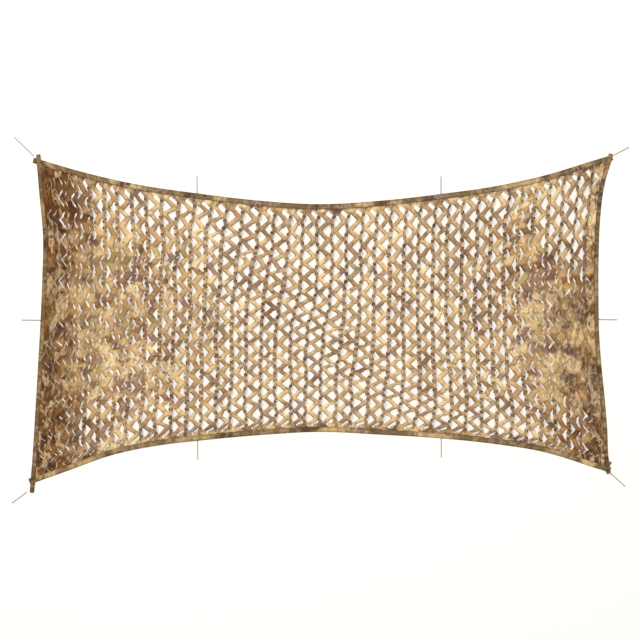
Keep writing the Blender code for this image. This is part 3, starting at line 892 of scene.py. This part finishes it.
def gathered_shade(cloth):
    """Painted shade: how much darker and browner the cloth is made where it is gathered and on each leg as
    it is tilted its own way, and darker towards its corners.
    """
    gathered = LEFT_TONE * (1 - smoothstep(cloth.column / TONE_COLUMNS))
    gathered += RIGHT_TONE * (1 - smoothstep((COLUMNS - cloth.column) / TONE_COLUMNS))
    gathered += CORNER_TONE * corners(cloth)
    away = np.hypot(COLUMNS - cloth.column, ROWS - cloth.row)
    gathered *= smoothstep((away - UPPER_RIGHT_FROM) / UPPER_RIGHT_RUN)
    rng = np.random.default_rng(LEG_SEED)
    values = rng.normal(LEG_SHADE, LEG_UNEVEN, (COLUMNS + 1, 2 * ROWS + 1)).clip(0, MOST_LEG_SHADE)
    leg = values[np.floor(cloth.column).astype(int), np.floor(2 * cloth.row).astype(int)]
    return np.clip(gathered + np.where(cloth.side == 0, leg, 0), 0, 1)


def painted_light_share(cloth, folded, open_here):
    """Painted light: how much paler the cloth is made where it is stretched, and the painted highlight where
    its tips turn over.
    """
    tip = (cloth.side != 0) & (cloth.steps_from_spine() - SLIT_START >= SLIT_REACH - 1)
    turned = TIP_HIGHLIGHT * np.interp(folded, TIP_OPEN, (0, 1, 1, 0)) * tip
    return np.maximum(turned, STRETCHED_LIGHT * smoothstep((open_here - PALED_FROM) / PALED_RUN))


def gathering(cloth, open_here):
    """How much the cloth is creased, from 0 to 1, for the bump of its fine folds and their painted shade and
    painted highlight: most where its slits are shut and along its edges.
    """
    up = to_sides(cloth.column, cloth.row)[1]
    edge = EDGE_CREASED * (1 - smoothstep(up / EDGE_CREASED_ROWS))
    at_corner = 1 - CORNER_CREASED + CORNER_CREASED * corners(cloth)
    return np.maximum((1 - smoothstep(open_here / CREASED_UNTIL)) * at_corner, edge)


def add_net():
    cloth = FlatCloth()
    points, folded, open_here = relax(cloth)
    net = add_mesh("net", points, cloth.faces.tolist(), cloth_material)
    as_cut = [cloth.column * COLUMN_PITCH, cloth.row * ROW_PITCH, 0 * cloth.row]
    add_attribute(net, "flat", np.stack(as_cut, axis=1))
    add_attribute(net, "tone", painted_crease_shade(cloth, folded, open_here))
    add_attribute(net, "shade", gathered_shade(cloth))
    add_attribute(net, "painted_light", painted_light_share(cloth, folded, open_here))
    add_attribute(net, "creased", gathering(cloth, open_here))
    return net


# ---------------------------------------------------------------- the bindings

FOLD_RADIUS = FOLD_HEIGHT / 2
FOLD_TURN = [math.radians(angle) for angle in (270, 225, 180, 135, 90)]
RING_STEP = 0.008
PUCKER = 0.0005
PUCKER_LENGTH = 0.041
PUCKER_DRIFT = 0.31  # metres along the tape for one radian of its unevenness
PUCKER_SWING = 2  # radians by which that shifts the puckers
EDGE_WAVE = 0.0010
EDGE_WAVE_LENGTH = 1.9 * PUCKER_LENGTH
STITCH_PITCH = 0.006
STITCH_FROM = 0.030
STITCH = (0.0040, 0.0009, 0.0006)
STITCH_DEPTH = 0.0045  # from the tape's inner edge
STITCH_SUNK = 0.3  # as a share of its height
STITCH_BASE = [(-0.5, -0.4, 0), (-0.5, 0.4, 0), (0.5, 0.4, 0), (0.5, -0.4, 0)]  # in shares of its sizes
STITCH_TOP = [(-0.3, -0.3, 1), (-0.3, 0.3, 1), (0.3, 0.3, 1), (0.3, -0.3, 1)]
BOX_FACES = [(0, 1, 2, 3), (7, 6, 5, 4), (0, 4, 5, 1), (1, 5, 6, 2), (2, 6, 7, 3), (3, 7, 4, 0)]
APART = 7  # metres between the stretches of print that the tapes are cut from

# How dark the tapes are, with painted shade along their folded outer edge and at their inner edge
FOLD_LINE_SHADE = 0.75
INNER_LINE_SHADE = 0.95
UPPER_SIDE = [(0.3, 0), (0.7, 0.1), (0.85, 0.3), (1.0, INNER_LINE_SHADE)]  # share of the width, and tone
CORNER_SHADE = 0.45  # the tapes are darker at the corners
SHADE_RUN = 0.16
# How much the tapes are creased, for the bump of their fine folds and their painted shade and painted
# highlight
TAPE_CREASED = 0.35

Tape = namedtuple("Tape", "name line width run lifted ear tone seed")
TAPES = [
    Tape("upper", upper, LONG_WIDTH, UPPER_RUN, False, False, 0.10, 1),
    Tape("lower", lower, LONG_WIDTH, LOWER_RUN, False, False, 0.05, 2),
    Tape("left", left, SIDE_WIDTH, LEFT_RUN, True, False, 0.35, 3),
    Tape("right", right, SIDE_WIDTH, RIGHT_RUN, True, True, 0.30, 4),
]


def folded_section(width):
    """Cross-section of a folded tape: distance in from the outer line, height, and how dark its painted
    shade is.
    """
    top, radius = FOLD_HEIGHT, FOLD_RADIUS
    bore = radius - TAPE
    outer = [(radius * (1 + math.cos(t)), radius * (1 + math.sin(t)), FOLD_LINE_SHADE) for t in FOLD_TURN]
    inner = [(radius + bore * math.cos(t), radius + bore * math.sin(t), 0) for t in FOLD_TURN[::-1]]
    over = [(share * width, top, tone) for share, tone in UPPER_SIDE]
    under = [(width, top - TAPE, INNER_LINE_SHADE), (0.5 * width, top - TAPE, 0)]
    below = [(0.5 * width, TAPE, 0), (width, TAPE, 0), (width, 0, 0), (0.5 * width, 0, 0)]
    return outer + over + under + inner + below


def swept_faces(rings, count):
    """The faces of a tube of so many rings of points, and of its two ends."""
    ring, k = np.meshgrid(np.arange(rings - 1) * count, np.arange(count), indexing="ij")
    n = (k + 1) % count
    sides = np.stack([ring + k, ring + n, ring + count + n, ring + count + k], axis=-1).reshape(-1, 4)
    last = (rings - 1) * count
    return sides.tolist() + [list(range(count))[::-1], list(range(last, last + count))]


def tape_lift(tape, station):
    """How far a tape is raised where it crosses the one under it at the corners."""
    to_corner = np.minimum(station, tape.line.length - station)
    return tape.lifted * LIFT * (1 - smoothstep((to_corner - CROSSING) / LIFT_RUN))


def pucker(tape, station, depth):
    """How far the sewn tape swells up and runs out of line, growing towards its inner edge."""
    phase = tape.seed + PUCKER_SWING * np.sin(station / PUCKER_DRIFT + tape.seed)
    share = depth / tape.width
    swell = PUCKER * np.sin(math.pi * share) * (1 + np.sin(2 * math.pi * station / PUCKER_LENGTH + phase))
    return swell, EDGE_WAVE * share * np.sin(2 * math.pi * station / EDGE_WAVE_LENGTH + 2 * phase)


def add_tape(tape):
    """A tape folded over the net's edge and swept along it."""
    section = np.array(folded_section(tape.width))
    first, last = -tape.run.before, tape.line.length + tape.run.after
    station = np.linspace(first, last, round((last - first) / RING_STEP) + 1)
    share = station / tape.line.length
    spot, across = tape.line.at(share), tape.line.inward(share)
    depth = np.repeat(section[None, :, 0], len(station), axis=0)
    if tape.ear:
        ear = EAR_OUT * np.clip(1 - np.abs(station - EAR_AT) / (EAR_LENGTH / 2), 0, 1)
        depth = depth - np.where(depth < FOLD_RADIUS, ear[:, None], 0)
    swell, wander = pucker(tape, station[:, None], depth)
    on_top = section[:, 1] > FOLD_RADIUS
    height = section[:, 1] + np.where(on_top, swell, 0) + tape_lift(tape, station)[:, None]
    flat = spot[:, None, :] + (depth + wander)[..., None] * across[:, None, :]
    points = np.concatenate([flat, height[..., None]], axis=2).reshape(-1, 3)
    count = len(section)
    faces = [face[:1] + face[:0:-1] for face in swept_faces(len(station), count)]
    piece = add_mesh("edging_" + tape.name, points, faces, binding_material)
    along = np.repeat(station[:, None], count, axis=1) + APART * tape.seed
    laid = np.stack([along, depth, 0 * depth], axis=2)
    add_attribute(piece, "flat", laid.reshape(-1, 3))
    to_corner = np.minimum(station, tape.line.length - station)
    shade = tape.tone + CORNER_SHADE * (1 - smoothstep(to_corner / SHADE_RUN))
    add_attribute(piece, "shade", np.repeat(shade, count))
    # Painted shade along the tape's folded outer edge and at its inner edge
    add_attribute(piece, "tone", np.tile(section[:, 2], len(station)))
    add_attribute(piece, "creased", np.full(len(points), TAPE_CREASED))
    return piece


def add_stitching(tape):
    """The row of stitches along a tape's inner edge, as one mesh."""
    length, width, height = STITCH
    first = CROSSING if tape.lifted else STITCH_FROM
    station = np.arange(first, tape.line.length - first, STITCH_PITCH)
    share = station / tape.line.length
    across = tape.line.inward(share)
    along = np.stack([across[:, 1], -across[:, 0]], axis=1)
    depth = tape.width - STITCH_DEPTH
    swell, wander = pucker(tape, station, depth)
    spot = tape.line.at(share) + (depth + wander)[:, None] * across
    base = FOLD_HEIGHT + swell + tape_lift(tape, station) - STITCH_SUNK * height
    offset = np.array(STITCH_BASE + STITCH_TOP) * (length, width, height)
    flat = spot[:, None, :] + offset[:, 0, None] * along[:, None, :]
    flat = flat + offset[:, 1, None] * across[:, None, :]
    level = base[:, None] + offset[:, 2]
    points = np.concatenate([flat, level[..., None]], axis=2).reshape(-1, 3)
    first_points = len(offset) * np.arange(len(spot))[:, None, None]
    faces = (np.array(BOX_FACES)[None] + first_points).reshape(-1, 4)
    return add_mesh("stitching_" + tape.name, points, faces.tolist(), thread_material)


# ---------------------------------------------------------------- the ties

TIE_SIDES = 16
TIE_RING = 0.00125
BRAID_TURNS = 4  # strands each way round
BRAID_PITCH = 0.010
BRAID_RELIEF = 0.06
# Painted shade in the braid's grooves
GROOVE_SHADE = 0.25  # how dark the braid's grooves are
TIP_LENGTH = 0.005
TIP_SQUARE = 0.02  # how square the end is left, as a squared share of the radius
ROUTE_STEP = 0.006


def tie_route(tie):
    """The points that a tie follows, lying straight on the ground from the binding outwards."""
    start, end = np.array([tie.x0, tie.y0]), np.array([tie.x1, tie.y1])
    count = round(np.linalg.norm(end - start) / ROUTE_STEP) + 1
    flat = start + np.linspace(0, 1, count)[:, None] * (end - start)
    return np.concatenate([flat, np.full((count, 1), CORD / 2 + CLEAR)], axis=1)


def add_tie(tie):
    """A short braided cord with a sealed free end."""
    route = tie_route(tie)
    start, run = route[0], route[-1] - route[0]
    length = np.linalg.norm(run)
    run = run / length
    side = np.array([-run[1], run[0], 0.0])
    along = np.linspace(0, length, round(length / TIE_RING) + 1)
    around = np.arange(TIE_SIDES) * 2 * math.pi / TIE_SIDES
    turn = 2 * math.pi * along[:, None] / BRAID_PITCH
    braid = np.sin(BRAID_TURNS * around + turn) * np.sin(BRAID_TURNS * around - turn)
    sealed = smoothstep((along - length + TIP_LENGTH) / TIP_LENGTH)[:, None]
    past = ((along - length + CORD / 2) / (CORD / 2)).clip(0)
    rounding = np.sqrt(np.clip(1 - past**2, TIP_SQUARE, 1))[:, None]
    radius = CORD / 2 * (1 - BRAID_RELIEF + BRAID_RELIEF * braid * (1 - sealed)) * rounding
    out, up = (radius * np.cos(around))[..., None], (radius * np.sin(around))[..., None]
    points = start + along[:, None, None] * run + out * side + up * (0, 0, 1)
    faces = swept_faces(len(along), TIE_SIDES)
    piece = add_mesh("cord_" + tie.name, points.reshape(-1, 3), faces, cord_material)
    # Painted shade in the braid's grooves, and the darker sealed end
    add_attribute(piece, "tone", np.maximum(GROOVE_SHADE * (1 - braid), sealed).ravel())
    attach(piece, "root")
    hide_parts(tie.name)


# ---------------------------------------------------------------- the stage


CAMERA_AT = (-0.004, 0.016, 8.01)
LENS = 85  # mm
SENSOR = 36
SKY = 0.60
Lamp = namedtuple("Lamp", "name spot size energy")
LAMPS = [Lamp("key", (-4.0, 7.2, 11.2), 3.4, 720), Lamp("fill", (0.8, 0.8, 14.0), 4.4, 720)]
FLOOR_HALF = 12.0
FLOOR_LEVEL = -0.0005
FLOOR_COLOUR = (0.97, 0.905, 0.82)
FLOOR_ROUGHNESS = 0.9


def add_camera(scene):
    camera = bpy.data.cameras.new("camera")
    camera.lens = LENS
    camera.sensor_width = SENSOR
    view = bpy.data.objects.new("camera", camera)
    view.location = CAMERA_AT
    scene.collection.objects.link(view)
    scene.camera = view


def add_light(scene):
    """A white sky and two soft lamps that point at the middle of the net."""
    world = bpy.data.worlds.new("world")
    world.use_nodes = True
    sky = world.node_tree.nodes["Background"]
    sky.inputs["Color"].default_value = (1, 1, 1, 1)
    sky.inputs["Strength"].default_value = SKY
    scene.world = world
    for spec in LAMPS:
        lamp = bpy.data.lights.new(spec.name, "AREA")
        lamp.size = spec.size
        lamp.energy = spec.energy
        light = bpy.data.objects.new(spec.name, lamp)
        light.location = spec.spot
        light.rotation_mode = "QUATERNION"
        light.rotation_quaternion = Vector(spec.spot).to_track_quat("Z", "Y")
        scene.collection.objects.link(light)


def add_floor(scene):
    mesh = bpy.data.meshes.new("floor")
    corner_signs = [(-1, -1), (1, -1), (1, 1), (-1, 1)]
    points = [(x * FLOOR_HALF, y * FLOOR_HALF, FLOOR_LEVEL) for x, y in corner_signs]
    mesh.from_pydata(points, [], [(0, 1, 2, 3)])
    floor = bpy.data.objects.new("floor", mesh)
    made = bpy.data.materials.new("floor")
    made.use_nodes = True
    shader = made.node_tree.nodes["Principled BSDF"]
    shader.inputs["Base Color"].default_value = (*FLOOR_COLOUR, 1)
    shader.inputs["Roughness"].default_value = FLOOR_ROUGHNESS
    mesh.materials.append(made)
    scene.collection.objects.link(floor)


# ---------------------------------------------------------------- the scene

scene = bpy.context.scene
scene.view_settings.view_transform = "Standard"
add_camera(scene)
add_light(scene)
add_floor(scene)
for tie in TIES:
    add_tie(tie)

net = add_net()
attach(net, "root")
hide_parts("net_cloth")

edging = []
for tape in TAPES:
    piece, stitches = add_tape(tape), add_stitching(tape)
    for part in (piece, stitches):
        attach(part, "root")
    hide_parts("binding_" + tape.name)
    edging += [piece, stitches]
